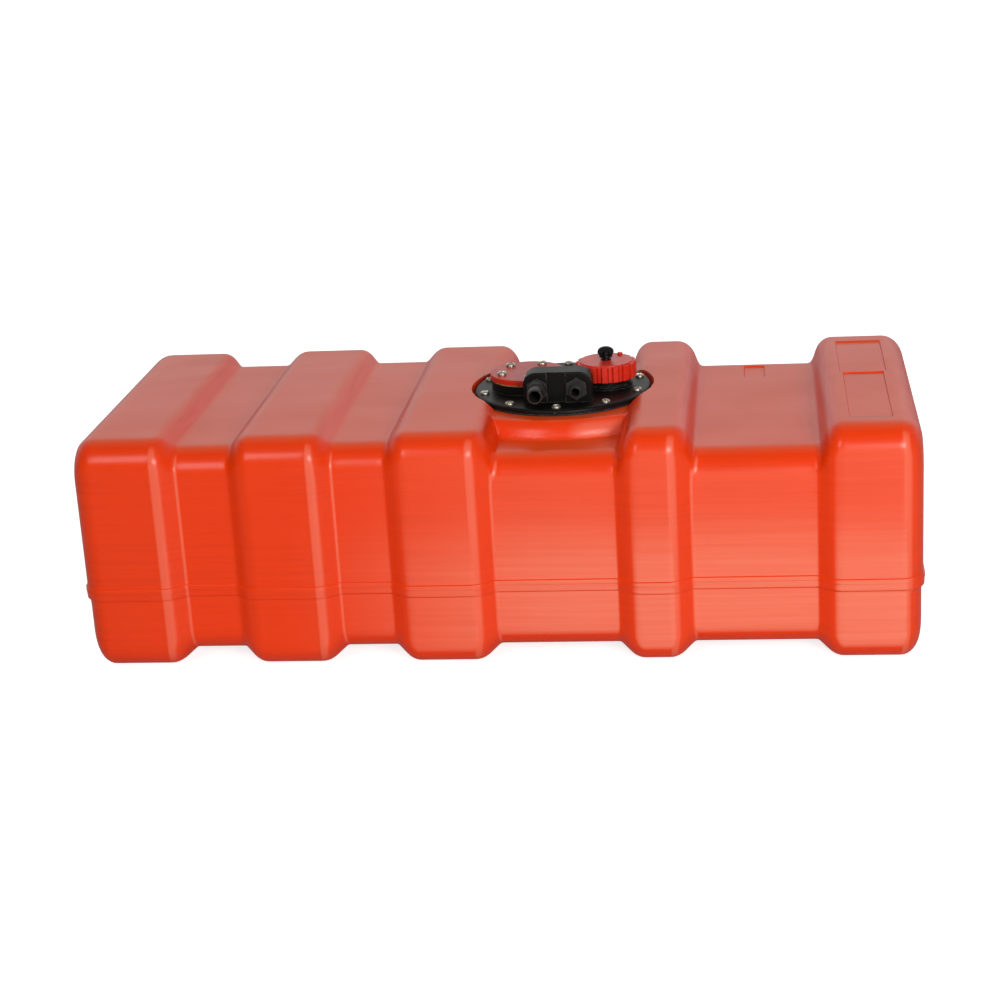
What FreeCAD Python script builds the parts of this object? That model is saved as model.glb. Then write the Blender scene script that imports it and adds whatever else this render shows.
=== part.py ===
"""Outboard fuel tank: a ribbed blow-moulded body with a round flange that carries the filler
neck, the fuel-sender port, the hose outlets and the pick-up tube.

Millimetres. Origin at the centre of the bottom, X along the length, the outlet side is -Y, Z up.
"""
import FreeCAD
import Part
import math
import os

V = FreeCAD.Vector
UP = V(0, 0, 1)

# Tank body
tank_length = 800.0
tank_width = 350.0
tank_height = 230.0
wall = 5.0
long_edge_radius = 25.0
end_edge_radius = 21.0

# Channels moulded across the body: centre, mouth width at half depth, depth of the top, and how far
# the top's left wall stands in from the mouth
narrow_mouth = 66.0
wide_mouth = 132.0
side_channel_depth = 12.0
shallow_top_depth = 12.0
deep_top_depth = 24.5
left_wall_shift = 6.8
flange_x = 58.0
channels = (
    (-275.0, narrow_mouth, shallow_top_depth, 0.0),
    (-125.0, narrow_mouth, shallow_top_depth, 0.0),
    (flange_x, wide_mouth, deep_top_depth, left_wall_shift),
    (245.0, wide_mouth, deep_top_depth, left_wall_shift),
)
floor_radius = 6.0
side_edge_radius = 24.0
side_wall_angle = 37.0
top_edge_radius = 18.0
shallow_wall_angle = 45.0
deep_wall_angle = 69.0
sections_per_wall = 14
sections_per_end = 7

# Parting band round the body
band_low_z = 72.0
band_height = 12.5
band_proud = 2.0

# Label recesses in the top: centre x, centre y, length x, length y
label_depth = 0.8
label_clear = 3.0
rear_label = (353.5, 76.0, 45.0, 114.0)
front_label = (353.5, -61.0, 39.0, 152.0)
small_label = (247.0, 114.0, 20.5, 41.0)

# Neck land and the well that the flange sits in
land_drop = 8.0
land_half_length = 99.0
land_corner_half = 80.0
land_draft_run = 10.0
land_overlap = 8.0
land_edge_radius = 4.0
well_gap = 3.7
neck_ring_wall = 5.0
neck_ring_depth = 14.0
neck_opening_radius = 70.0

# Flange plate
flange_radius = 87.3
flange_thickness = 5.0
flange_edge = 3.0
gasket_thickness = 1.5
gasket_margin = 0.5
spigot_wall = 4.5
spigot_depth = 4.0
spigot_gap = 1.0
nib_size = 4.0
nib_proud = 1.2

# Flange screws and the inserts moulded into the neck
screw_circle = 158.0
screw_count = 10
screw_first_angle = 18.0
screw_shank = 5.0
screw_tip_gap = 0.5
screw_head = 9.0
screw_head_height = 2.9
insert_wall = 1.0
insert_length = 11.5
insert_end = 1.0
hole_clearance = 0.25
fit_clearance = 0.05
recess_width = 1.1
recess_share = 0.56
recess_depth_share = 0.5
head_round_share = 0.7

# Fuel-sender port with its blank cover
sender_x = 23.6
sender_neck_radius = 36.0
sender_opening_radius = 20.5
sender_neck_height = 9.0
cork_thickness = 1.5
cover_radius = 37.0
cover_thickness = 5.0
cover_edge = 0.8
sender_circle = 54.0
sender_screw_count = 5
sender_first_angle = 62.0
sender_shank = 4.8
sender_head = 9.6
sender_head_height = 3.6
sender_insert_length = 7.0

# Filler neck and cap
cap_x = 102.0
neck_bore_radius = 18.0
neck_core_radius = 22.2
neck_height = 21.0
neck_foot_radius = 25.5
neck_foot_height = 3.0
thread_pitch = 4.0
thread_depth = 1.6
thread_base = 2.0
thread_crest = 1.0
thread_clearance = 0.4
neck_thread_rise = 4.5
neck_thread_turns = 3.5
cap_thread_lag = 1.5
cap_thread_turns = 2.0
cap_seal_thickness = 1.5
cap_top_thickness = 2.5
cap_height = 16.5
cap_wall = 2.2
cap_rib_reach = 29.5
cap_top_radius = 25.6
cap_rib_count = 16
cap_wide_rib = 5.6
cap_narrow_rib = 3.4
cap_narrow_reach = 28.0
cap_rib_step = 1.2
cap_rib_ease = 0.25
cap_lug_length = 5.0
cap_lug_height = 2.0
cap_lug_angle = 55.0
cap_lug_inset = 0.6

# Vent thumb screw in the middle of the cap
vent_stem = 7.4
vent_clearance = 0.08
vent_neck_length = 2.7
vent_wing_length = 16.0
vent_wing_height = 10.3
vent_wing_thickness = 3.4
vent_disc_radius = 6.6
vent_disc_height = 2.0
vent_boss_radius = 7.0
vent_boss_depth = 9.0
vent_seal_width = 1.6
vent_seal_thickness = 1.6
vent_seal_recess = 1.2
vent_passage_radius = 1.2
vent_floor = 2.0
vent_tip_gap = 1.0
vent_collar_width = 1.0
vent_collar_height = 1.0

# Hose outlets
outlet_low_x = 25.0
outlet_high_x = 91.5
outlet_front_y = -62.0
outlet_depth = 24.5
outlet_height = 30.0
outlet_corner = 12.0
outlet_edge = 1.5
web_low_x = 48.0
web_high_x = 66.0
web_set_back = 2.0
nozzle_height = 14.8
hex_flats = 19.0
hex_thickness = 4.6
nozzle_spigot_radius = 7.0
nozzle_spigot_length = 10.0
nozzle_seal_width = 1.6
nozzle_seal_thickness = 1.2
vent_nozzle_x = 39.0
vent_mouth_y = -92.0
vent_nozzle_bore = 5.9
vent_way_radius = 4.0
vent_tail_radius = 7.5
vent_collar_radius = 9.2
vent_collar_length = 9.0
fuel_nozzle_x = 77.0
fuel_mouth_y = -80.0
fuel_nozzle_bore = 4.4
fuel_way_radius = 3.75
fuel_tail_radius = 5.5
fuel_collar_radius = 6.2
fuel_collar_length = 3.5
mouth_chamfer = 0.6
way_step = 0.5
touch = 1e-6

# Pick-up inside the tank
pickup_radius = 5.0
pickup_bore = 3.6
pickup_socket = 8.0
pickup_seal_thickness = 1.5
pickup_boss_radius = 8.5
pickup_boss_drop = 12.0
strainer_radius = 12.0
strainer_height = 22.0
strainer_wall = 1.5
strainer_floor_gap = 6.0
strainer_slot_count = 12
strainer_slot_width = 2.4
strainer_slot_margin = 3.5

# Levels that follow from the sizes above
land_z = tank_height - land_drop
plate_low_z = land_z + gasket_thickness
plate_top_z = plate_low_z + flange_thickness
sender_neck_z = plate_top_z + sender_neck_height
cover_low_z = sender_neck_z + cork_thickness
cover_top_z = cover_low_z + cover_thickness
neck_top_z = plate_top_z + neck_height
cap_under_z = neck_top_z + cap_seal_thickness
cap_top_z = cap_under_z + cap_top_thickness
cap_low_z = cap_top_z - cap_height
thread_outer_radius = neck_core_radius + thread_depth
cap_bore_radius = thread_outer_radius + thread_clearance
cap_body_radius = cap_bore_radius + cap_wall
well_radius = flange_radius + well_gap
nozzle_z = plate_top_z + nozzle_height
strainer_low_z = side_channel_depth + wall + strainer_floor_gap
outlet_back_y = outlet_front_y + outlet_depth
outlet_top_z = plate_top_z + outlet_height


def cylinder(radius, low_z, high_z, x=0.0, y=0.0):
    return Part.makeCylinder(radius, high_z - low_z, V(x, y, low_z), UP)


def tube(outer, inner, low_z, high_z, x=0.0, y=0.0):
    return cylinder(outer, low_z, high_z, x, y).cut(cylinder(inner, low_z, high_z, x, y))


def block(low, high):
    size = V(*high) - V(*low)
    return Part.makeBox(size.x, size.y, size.z, V(*low))


def circle_places(x, circle, count, first_angle):
    """Points spread evenly on a circle about (x, 0)."""
    places = []
    for k in range(count):
        turn = math.radians(first_angle + 360.0 * k / count)
        places.append((x + circle / 2 * math.cos(turn), circle / 2 * math.sin(turn)))
    return places


def revolved(points, x=0.0, y=0.0):
    """Solid of revolution about the vertical line at (x, y) from (radius, z) points."""
    corners = [V(x + r, y, z) for r, z in points]
    outline = Part.makePolygon(corners + corners[:1])
    return Part.Face(outline).revolve(V(x, y, 0), UP, 360)


class ChannelWall:
    """Profile of a channel's wall: an arc off the floor, a straight slope, an arc over the edge."""

    def __init__(self, depth, angle, edge_radius, foot_radius):
        self.depth = depth
        self.angle = math.radians(angle)
        self.edge_radius = edge_radius
        self.foot_radius = foot_radius
        both = edge_radius + foot_radius
        slope = (depth - both * (1 - math.cos(self.angle))) / math.sin(self.angle)
        self.foot_run = foot_radius * math.sin(self.angle)
        self.foot_rise = foot_radius * (1 - math.cos(self.angle))
        self.slope_end = self.foot_run + slope * math.cos(self.angle)
        self.run = self.slope_end + edge_radius * math.sin(self.angle)
        self.mid_run = self.foot_run + (depth / 2 - self.foot_rise) / math.tan(self.angle)

    def inset(self, from_floor):
        """Depth below the lobe at a distance out from the end of the channel's floor."""
        if from_floor <= 0:
            return self.depth
        if from_floor >= self.run:
            return 0.0
        if from_floor <= self.foot_run:
            rise = self.foot_radius - math.sqrt(self.foot_radius ** 2 - from_floor ** 2)
            return self.depth - rise
        if from_floor <= self.slope_end:
            rise = self.foot_rise + (from_floor - self.foot_run) * math.tan(self.angle)
            return self.depth - rise
        left = self.run - from_floor
        return self.edge_radius - math.sqrt(self.edge_radius ** 2 - left ** 2)


def channel_walls(top_depth, skin):
    """Side and top profiles of one channel, on a skin that lies inside the outer surface."""
    top_angle = deep_wall_angle if top_depth == deep_top_depth else shallow_wall_angle
    foot = floor_radius + skin
    side = ChannelWall(side_channel_depth, side_wall_angle, side_edge_radius - skin, foot)
    top = ChannelWall(top_depth, top_angle, top_edge_radius - skin, foot)
    return side, top


def rounded_section(x, half_width, low_z, high_z, radius):
    """Closed wire across the tank: a rectangle with round corners, or sharp ones at radius 0."""
    y0, y1 = -half_width, half_width
    if radius == 0:
        corners = [V(x, y0, low_z), V(x, y1, low_z), V(x, y1, high_z), V(x, y0, high_z)]
        return Part.makePolygon(corners + corners[:1])
    bend = radius * (1 - math.sqrt(0.5))
    r = radius

    def line(ya, za, yb, zb):
        return Part.LineSegment(V(x, ya, za), V(x, yb, zb)).toShape()

    def arc(ya, za, ym, zm, yb, zb):
        return Part.Arc(V(x, ya, za), V(x, ym, zm), V(x, yb, zb)).toShape()

    return Part.Wire([
        line(y0 + r, low_z, y1 - r, low_z),
        arc(y1 - r, low_z, y1 - bend, low_z + bend, y1, low_z + r),
        line(y1, low_z + r, y1, high_z - r),
        arc(y1, high_z - r, y1 - bend, high_z - bend, y1 - r, high_z),
        line(y1 - r, high_z, y0 + r, high_z),
        arc(y0 + r, high_z, y0 + bend, high_z - bend, y0, high_z - r),
        line(y0, high_z - r, y0, low_z + r),
        arc(y0, low_z + r, y0 + bend, low_z + bend, y0 + r, low_z),
    ])


def lofted_body(skin, section_at):
    """Tank-shaped solid whose surface lies a skin inside the outer one.

    section_at(x, side inset, top inset, end inset) gives the wire across it."""
    spans = []
    half = tank_length / 2 - skin
    end_radius = end_edge_radius - skin
    flat_from = -half + end_radius

    def end_sections(sign):
        wires = []
        for k in range(sections_per_end):
            turn = math.radians(90.0 * k / (sections_per_end - 1))
            x = half - end_radius * (1 - math.sin(turn))
            wires.append(section_at(sign * x, 0.0, 0.0, end_radius * (1 - math.cos(turn))))
        return wires

    spans.append(Part.makeLoft(end_sections(-1.0), True, False))
    for centre, mouth, top_depth, left_shift in channels:
        side, top = channel_walls(top_depth, skin)
        side_floor = mouth / 2 - side.mid_run
        floor_ends = []
        mouth_ends = []
        for sign, top_shift in ((-1.0, left_shift), (1.0, 0.0)):
            top_floor = mouth / 2 - top.mid_run - top_shift
            floor_end = min(side_floor, top_floor)
            mouth_end = max(side_floor + side.run, top_floor + top.run)
            wires = []
            for k in range(sections_per_wall + 1):
                out = floor_end + (mouth_end - floor_end) * k / sections_per_wall
                wires.append(section_at(centre + sign * out, side.inset(out - side_floor),
                                        top.inset(out - top_floor), 0.0))
            spans.append(Part.makeLoft(wires, True, False))
            floor_ends.append(centre + sign * floor_end)
            mouth_ends.append(centre + sign * mouth_end)
        spans.append(straight_span(section_at, flat_from, mouth_ends[0], 0.0, 0.0))
        spans.append(straight_span(section_at, floor_ends[0], floor_ends[1], side.depth, top.depth))
        flat_from = mouth_ends[1]
    spans.append(straight_span(section_at, flat_from, half - end_radius, 0.0, 0.0))
    spans.append(Part.makeLoft(end_sections(1.0), True, False))
    return spans[0].multiFuse(spans[1:]).removeSplitter()


def straight_span(section_at, low_x, high_x, side_inset, top_inset):
    face = Part.Face(section_at(low_x, side_inset, top_inset, 0.0))
    return face.extrude(V(high_x - low_x, 0, 0))


def tank_skin(skin):
    half_width = tank_width / 2 - skin
    radius = long_edge_radius - skin

    def section_at(x, side_inset, top_inset, end_inset):
        return rounded_section(x, half_width - side_inset - end_inset,
                               skin + side_inset + end_inset,
                               tank_height - skin - top_inset - end_inset, radius)

    return lofted_body(skin, section_at)


def parting_band():
    half_width = tank_width / 2 + band_proud

    def section_at(x, side_inset, top_inset, end_inset):
        return rounded_section(x, half_width - side_inset - end_inset, band_low_z,
                               band_low_z + band_height, 0)

    return lofted_body(-band_proud, section_at)


def land_outline(half_x, half_y, corner_half_y, z):
    """Closed wire of the neck land: straight sides, front and back bowed out as arcs."""
    x0, x1 = flange_x - half_x, flange_x + half_x
    front = Part.Arc(V(x0, -corner_half_y, z), V(flange_x, -half_y, z), V(x1, -corner_half_y, z))
    back = Part.Arc(V(x1, corner_half_y, z), V(flange_x, half_y, z), V(x0, corner_half_y, z))
    right = Part.LineSegment(V(x1, -corner_half_y, z), V(x1, corner_half_y, z))
    left = Part.LineSegment(V(x0, corner_half_y, z), V(x0, -corner_half_y, z))
    return Part.Wire([front.toShape(), right.toShape(), back.toShape(), left.toShape()])


def neck_land():
    """Raised land that fills the middle of the flange's channel up to the flange's seat."""
    half_x = wide_mouth / 2 + land_overlap
    floor_z = tank_height - deep_top_depth
    low_z = floor_z - wall / 2
    run = land_draft_run * (land_z - low_z) / (land_z - floor_z)
    wires = [land_outline(half_x, land_half_length + run, land_corner_half + run, low_z),
             land_outline(half_x, land_half_length, land_corner_half, land_z)]
    land = Part.makeLoft(wires, True, True)
    rims = [edge for edge in land.Edges
            if abs(edge.BoundBox.ZMin - land_z) < touch and edge.BoundBox.XLength > half_x]
    return land.makeFillet(land_edge_radius, rims)


def label_recess(label, top_z):
    x, y, length_x, length_y = label
    return block((x - length_x / 2, y - length_y / 2, top_z - label_depth),
                 (x + length_x / 2, y + length_y / 2, top_z + label_clear))


def make_tank_shell():
    outer = tank_skin(0.0).fuse(parting_band()).fuse(neck_land())
    ring_radius = well_radius + neck_ring_wall
    ring = cylinder(ring_radius, land_z - neck_ring_depth, tank_height - wall / 2, flange_x)
    shell = outer.cut(tank_skin(wall)).fuse(neck_land()).fuse(ring.common(outer))
    shell = shell.cut(cylinder(well_radius, land_z, tank_height + wall, flange_x))
    shell = shell.cut(cylinder(neck_opening_radius, tank_height / 2, land_z + wall, flange_x))
    insert_radius = insert_outer_radius(screw_shank) + fit_clearance
    for x, y in circle_places(flange_x, screw_circle, screw_count, screw_first_angle):
        shell = shell.cut(cylinder(insert_radius, land_z - insert_length, land_z, x, y))
    shell = shell.cut(label_recess(rear_label, tank_height))
    shell = shell.cut(label_recess(front_label, tank_height))
    shell = shell.cut(label_recess(small_label, tank_height - deep_top_depth))
    return shell


def insert_outer_radius(shank):
    return shank / 2 + fit_clearance + insert_wall


def threaded_inserts(places, shank, length, top_z):
    inserts = []
    for x, y in places:
        body = cylinder(insert_outer_radius(shank), top_z - length, top_z, x, y)
        inserts.append(body.cut(cylinder(shank / 2 + fit_clearance, top_z - length + insert_end,
                                         top_z, x, y)))
    return Part.makeCompound(inserts)


def pan_screws(places, shank, head, head_height, seat_z, insert_low_z):
    """Pan-head screws with a cross recess, from the seat down into their inserts."""
    screws = []
    for x, y in places:
        screw = cylinder(shank / 2, insert_low_z + insert_end + screw_tip_gap, seat_z, x, y)
        dome = cylinder(head / 2, seat_z, seat_z + head_height, x, y)
        rim = [edge for edge in dome.Edges if abs(edge.BoundBox.ZMin - seat_z - head_height) < touch]
        screw = screw.fuse(dome.makeFillet(head_height * head_round_share, rim))
        reach = head * recess_share / 2
        half = recess_width / 2
        low_z = seat_z + head_height * (1 - recess_depth_share)
        high_z = seat_z + head_height * 2
        for slot in (block((x - reach, y - half, low_z), (x + reach, y + half, high_z)),
                     block((x - half, y - reach, low_z), (x + half, y + reach, high_z))):
            screw = screw.cut(slot)
        screws.append(screw)
    return Part.makeCompound(screws)


def helical_ridge(radius, inward, low_z, turns, x):
    """Trapezoid thread ridge on a wall of the given radius, pointing out or in."""
    root = thread_clearance / 2
    reach = -thread_depth if inward else thread_depth
    sink = root if inward else -root
    corners = [V(x + radius + sink, 0, low_z - thread_base / 2),
               V(x + radius + reach, 0, low_z - thread_crest / 2),
               V(x + radius + reach, 0, low_z + thread_crest / 2),
               V(x + radius + sink, 0, low_z + thread_base / 2)]
    profile = Part.makePolygon(corners + corners[:1])
    path = Part.makeHelix(thread_pitch, thread_pitch * turns, radius)
    path.translate(V(x, 0, low_z))
    return Part.Wire(path.Edges).makePipeShell([profile], True, True)


def sender_places():
    return circle_places(sender_x, sender_circle, sender_screw_count, sender_first_angle)


def flange_places():
    return circle_places(flange_x, screw_circle, screw_count, screw_first_angle)


def outlet_block():
    """Housing of the two hose outlets, with a set-back web between its towers."""
    body = block((outlet_low_x, outlet_front_y, plate_top_z - flange_thickness / 2),
                 (outlet_high_x, outlet_back_y, outlet_top_z))
    upright = [edge for edge in body.Edges if edge.BoundBox.ZMin > outlet_top_z - touch
               and edge.BoundBox.YLength > outlet_depth / 2]
    body = body.makeFillet(outlet_corner, upright)
    rims = [edge for edge in body.Edges if edge.BoundBox.ZMin > plate_top_z
            and (edge.BoundBox.YMax < outlet_front_y + touch
                 or edge.BoundBox.YMin > outlet_back_y - touch)]
    body = body.makeFillet(outlet_edge, rims)
    web = block((web_low_x, outlet_front_y - outlet_edge, plate_top_z),
                (web_high_x, outlet_front_y + web_set_back, outlet_top_z + outlet_edge))
    return body.cut(web)


def make_flange_plate():
    plate = cylinder(flange_radius, plate_low_z, plate_top_z, flange_x)
    rim = [edge for edge in plate.Edges if abs(edge.BoundBox.ZMin - plate_top_z) < touch]
    plate = plate.makeFillet(flange_edge, rim)
    nib = block((flange_x - nib_size / 2, -flange_radius - nib_proud, plate_low_z),
                (flange_x + nib_size / 2, -flange_radius + nib_size, plate_top_z - flange_edge))
    spigot_radius = neck_opening_radius - spigot_gap
    spigot = tube(spigot_radius, spigot_radius - spigot_wall, plate_low_z - spigot_depth,
                  plate_top_z - flange_thickness / 2, flange_x)
    sender = cylinder(sender_neck_radius, plate_low_z, sender_neck_z, sender_x)
    neck_profile = [(0, plate_low_z), (neck_foot_radius, plate_low_z),
                    (neck_foot_radius, plate_top_z + neck_foot_height),
                    (neck_core_radius, plate_top_z + neck_foot_height),
                    (neck_core_radius, neck_top_z), (0, neck_top_z)]
    neck = revolved(neck_profile, cap_x)
    thread = helical_ridge(neck_core_radius, False, plate_top_z + neck_thread_rise,
                           neck_thread_turns, cap_x)
    boss = cylinder(pickup_boss_radius, plate_low_z - pickup_boss_drop, plate_top_z,
                    fuel_nozzle_x, pickup_y())
    plate = plate.fuse([nib, spigot, sender, neck, outlet_block(), boss]).fuse(thread)
    through_low = plate_low_z - pickup_boss_drop
    plate = plate.cut(cylinder(neck_bore_radius, through_low, neck_top_z, cap_x))
    plate = plate.cut(cylinder(sender_opening_radius, through_low, sender_neck_z, sender_x))
    for x, y in flange_places():
        plate = plate.cut(cylinder(screw_shank / 2 + hole_clearance, through_low, plate_top_z, x, y))
    insert_radius = insert_outer_radius(sender_shank) + fit_clearance
    for x, y in sender_places():
        plate = plate.cut(cylinder(insert_radius, sender_neck_z - sender_insert_length,
                                   sender_neck_z, x, y))
    return plate.cut(outlet_passages())


def outlet_passages():
    """Sockets of the two nozzles, the ways down into the tank and the pick-up's socket."""
    cuts = []
    socket_radius = nozzle_spigot_radius + fit_clearance
    for x, way in ((vent_nozzle_x, vent_way_radius), (fuel_nozzle_x, fuel_way_radius)):
        socket_end = outlet_front_y + nozzle_spigot_length + fit_clearance
        cuts.append(Part.makeCylinder(socket_radius, nozzle_spigot_length + fit_clearance,
                                      V(x, outlet_front_y, nozzle_z), V(0, 1, 0)))
        cuts.append(Part.makeCylinder(way + way_step, pickup_y() + way + way_step - socket_end,
                                      V(x, socket_end, nozzle_z), V(0, 1, 0)))
        cuts.append(cylinder(way, plate_low_z - pickup_boss_drop, nozzle_z, x, pickup_y()))
    cuts.append(cylinder(pickup_radius + fit_clearance, plate_low_z - pickup_boss_drop,
                         plate_low_z - pickup_boss_drop + pickup_socket, fuel_nozzle_x, pickup_y()))
    return cuts[0].multiFuse(cuts[1:])


def pickup_y():
    """Depth of the outlets' vertical ways, between the nozzle sockets and the block's back."""
    return (outlet_front_y + nozzle_spigot_length + outlet_back_y) / 2


def make_flange_gasket():
    ring = tube(flange_radius - gasket_margin, neck_opening_radius, land_z, plate_low_z, flange_x)
    for x, y in flange_places():
        ring = ring.cut(cylinder(screw_shank / 2 + hole_clearance, land_z, plate_low_z, x, y))
    return ring


def make_sender_gasket():
    ring = tube(sender_neck_radius, sender_opening_radius, sender_neck_z, cover_low_z, sender_x)
    for x, y in sender_places():
        ring = ring.cut(cylinder(sender_shank / 2 + hole_clearance, sender_neck_z, cover_low_z, x, y))
    return ring


def make_sender_cover():
    disc = cylinder(cover_radius, cover_low_z, cover_top_z, sender_x)
    rim = [edge for edge in disc.Edges if abs(edge.BoundBox.ZMin - cover_top_z) < touch]
    disc = disc.makeFillet(cover_edge, rim)
    for x, y in sender_places():
        disc = disc.cut(cylinder(sender_shank / 2 + hole_clearance, cover_low_z, cover_top_z, x, y))
    return disc


def hex_prism(flats, thickness, x, y, z):
    """Hexagon with a point up, from y towards -Y."""
    corner_radius = flats / math.sqrt(3)
    corners = []
    for k in range(6):
        turn = math.radians(90 + 60 * k)
        corners.append(V(x + corner_radius * math.cos(turn), y,
                         z + corner_radius * math.sin(turn)))
    return Part.Face(Part.makePolygon(corners + corners[:1])).extrude(V(0, -thickness, 0))


def make_nozzle(x, mouth_y, bore, tail_radius, collar_radius, collar_length):
    """Hose nozzle along -Y: spigot in the block, hexagon, collar and plain tail."""
    seat_y = outlet_front_y - nozzle_seal_thickness
    hex_end = seat_y - hex_thickness
    collar_end = hex_end - collar_length
    spigot_end = outlet_front_y + nozzle_spigot_length
    profile = [(0, spigot_end), (nozzle_spigot_radius, spigot_end),
               (nozzle_spigot_radius, seat_y), (collar_radius, seat_y), (collar_radius, collar_end),
               (tail_radius, collar_end - (collar_radius - tail_radius)),
               (tail_radius, mouth_y + mouth_chamfer), (tail_radius - mouth_chamfer, mouth_y),
               (0, mouth_y)]
    corners = [V(x + r, y, nozzle_z) for r, y in profile]
    outline = Part.Face(Part.makePolygon(corners + corners[:1]))
    body = outline.revolve(V(x, 0, nozzle_z), V(0, 1, 0), 360)
    body = body.fuse(hex_prism(hex_flats, hex_thickness, x, seat_y, nozzle_z))
    hole = Part.makeCylinder(bore, spigot_end - mouth_y, V(x, mouth_y, nozzle_z), V(0, 1, 0))
    return body.cut(hole)


def make_nozzle_seal(x):
    inner = nozzle_spigot_radius + fit_clearance
    foot = V(x, outlet_front_y - nozzle_seal_thickness, nozzle_z)
    ring = Part.makeCylinder(inner + nozzle_seal_width, nozzle_seal_thickness, foot, V(0, 1, 0))
    return ring.cut(Part.makeCylinder(inner, nozzle_seal_thickness, foot, V(0, 1, 0)))


def pickup_top_z():
    return plate_low_z - pickup_boss_drop + pickup_socket - pickup_seal_thickness


def make_pickup_tube():
    return tube(pickup_radius, pickup_bore, strainer_low_z + strainer_wall, pickup_top_z(),
                fuel_nozzle_x, pickup_y())


def make_pickup_seal():
    return tube(pickup_radius, pickup_bore, pickup_top_z(), pickup_top_z() + pickup_seal_thickness,
                fuel_nozzle_x, pickup_y())


def make_pickup_strainer():
    """Slotted cup on the lower end of the tube, a little above the tank's floor."""
    x, y = fuel_nozzle_x, pickup_y()
    low_z = strainer_low_z
    high_z = low_z + strainer_height
    cup = cylinder(strainer_radius, low_z, high_z, x, y)
    cup = cup.cut(cylinder(strainer_radius - strainer_wall, low_z + strainer_wall,
                           high_z - strainer_wall, x, y))
    slot_low = low_z + strainer_slot_margin
    slot_high = high_z - strainer_slot_margin
    for k in range(strainer_slot_count // 2):
        slot = block((-strainer_radius - strainer_wall, -strainer_slot_width / 2, slot_low),
                     (strainer_radius + strainer_wall, strainer_slot_width / 2, slot_high))
        slot.rotate(V(0, 0, 0), UP, 360.0 * k / strainer_slot_count)
        slot.translate(V(x, y, 0))
        cup = cup.cut(slot)
    hub_bore = pickup_radius + fit_clearance
    hub = tube(hub_bore + strainer_wall, hub_bore, slot_high, high_z, x, y)
    return cup.cut(cylinder(hub_bore, low_z + strainer_wall, high_z, x, y)).fuse(hub)


def cap_rib(width, reach, high_z, angle):
    """Grip rib that stands out of the cap's skirt, its outer corners eased."""
    rib = block((cap_body_radius - cap_wall / 2, -width / 2, cap_low_z), (reach, width / 2, high_z))
    outer = [edge for edge in rib.Edges if edge.BoundBox.XMin > reach - touch]
    rib = rib.makeFillet(min(width, reach - cap_body_radius) * cap_rib_ease, outer)
    rib.rotate(V(0, 0, 0), UP, angle)
    rib.translate(V(cap_x, 0, 0))
    return rib


def make_filler_cap():
    skirt = cylinder(cap_body_radius, cap_low_z, cap_top_z, cap_x)
    top_edge = [edge for edge in skirt.Edges if abs(edge.BoundBox.ZMin - cap_top_z) < touch]
    skirt = skirt.makeFillet(cap_body_radius - cap_top_radius, top_edge)
    ribs = []
    step = 360.0 / cap_rib_count
    for k in range(cap_rib_count):
        ribs.append(cap_rib(cap_wide_rib, cap_rib_reach, cap_top_z - cap_rib_step, step * k))
        ribs.append(cap_rib(cap_narrow_rib, cap_narrow_reach, cap_top_z - cap_rib_step,
                            step * (k + 0.5)))
    cap = skirt.multiFuse(ribs)
    lug_turn = math.radians(cap_lug_angle)
    lug_reach = cap_top_radius - cap_lug_length / 2 - cap_lug_inset
    lug = cylinder(cap_lug_length / 2, cap_top_z - cap_rib_step, cap_top_z + cap_lug_height,
                   cap_x + lug_reach * math.cos(lug_turn), lug_reach * math.sin(lug_turn))
    cap = cap.fuse(lug)
    cap = cap.cut(cylinder(cap_bore_radius, cap_low_z, cap_under_z, cap_x))
    boss = cylinder(vent_boss_radius, cap_under_z - vent_boss_depth, cap_top_z, cap_x)
    cap = cap.fuse(boss)
    thread_low = plate_top_z + neck_thread_rise + cap_thread_lag * thread_pitch
    cap = cap.fuse(helical_ridge(cap_bore_radius, True, thread_low, cap_thread_turns, cap_x))
    seal_radius = vent_stem / 2 + vent_seal_width
    stem_hole_z = cap_under_z - vent_boss_depth + vent_floor
    cap = cap.cut(cylinder(vent_stem / 2 + vent_clearance, stem_hole_z, cap_top_z, cap_x))
    cap = cap.cut(cylinder(seal_radius + fit_clearance, cap_top_z - vent_seal_recess, cap_top_z, cap_x))
    return cap.cut(cylinder(vent_passage_radius, cap_under_z - vent_boss_depth, cap_top_z, cap_x))


def make_cap_seal():
    return tube(cap_bore_radius - thread_clearance, neck_bore_radius, neck_top_z, cap_under_z, cap_x)


def vent_seat_z():
    return cap_top_z - vent_seal_recess + vent_seal_thickness


def make_vent_seal():
    inner = vent_stem / 2 + fit_clearance
    return tube(vent_stem / 2 + vent_seal_width, inner, cap_top_z - vent_seal_recess,
                vent_seat_z(), cap_x)


def make_vent_screw():
    """Thumb screw: stem through the cap, collar on the seal, and an oval wing on a disc."""
    low_z = cap_under_z - vent_boss_depth + vent_floor + vent_tip_gap
    wing_z = vent_seat_z() + vent_neck_length + vent_wing_height / 2
    stem = cylinder(vent_stem / 2, low_z, wing_z, cap_x)
    wing = Part.makeCylinder(vent_wing_height / 2, vent_wing_thickness,
                             V(0, -vent_wing_thickness / 2, 0), V(0, 1, 0))
    stretch = FreeCAD.Matrix()
    stretch.A11 = vent_wing_length / vent_wing_height
    wing = wing.transformGeometry(stretch)
    wing.translate(V(cap_x, 0, wing_z))
    collar = cylinder(vent_stem / 2 + vent_collar_width, vent_seat_z(),
                      vent_seat_z() + vent_collar_height, cap_x)
    disc_z = wing_z - vent_wing_height / 2
    disc = cylinder(vent_disc_radius, disc_z, disc_z + vent_disc_height, cap_x)
    return stem.fuse([wing, collar, disc])


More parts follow.
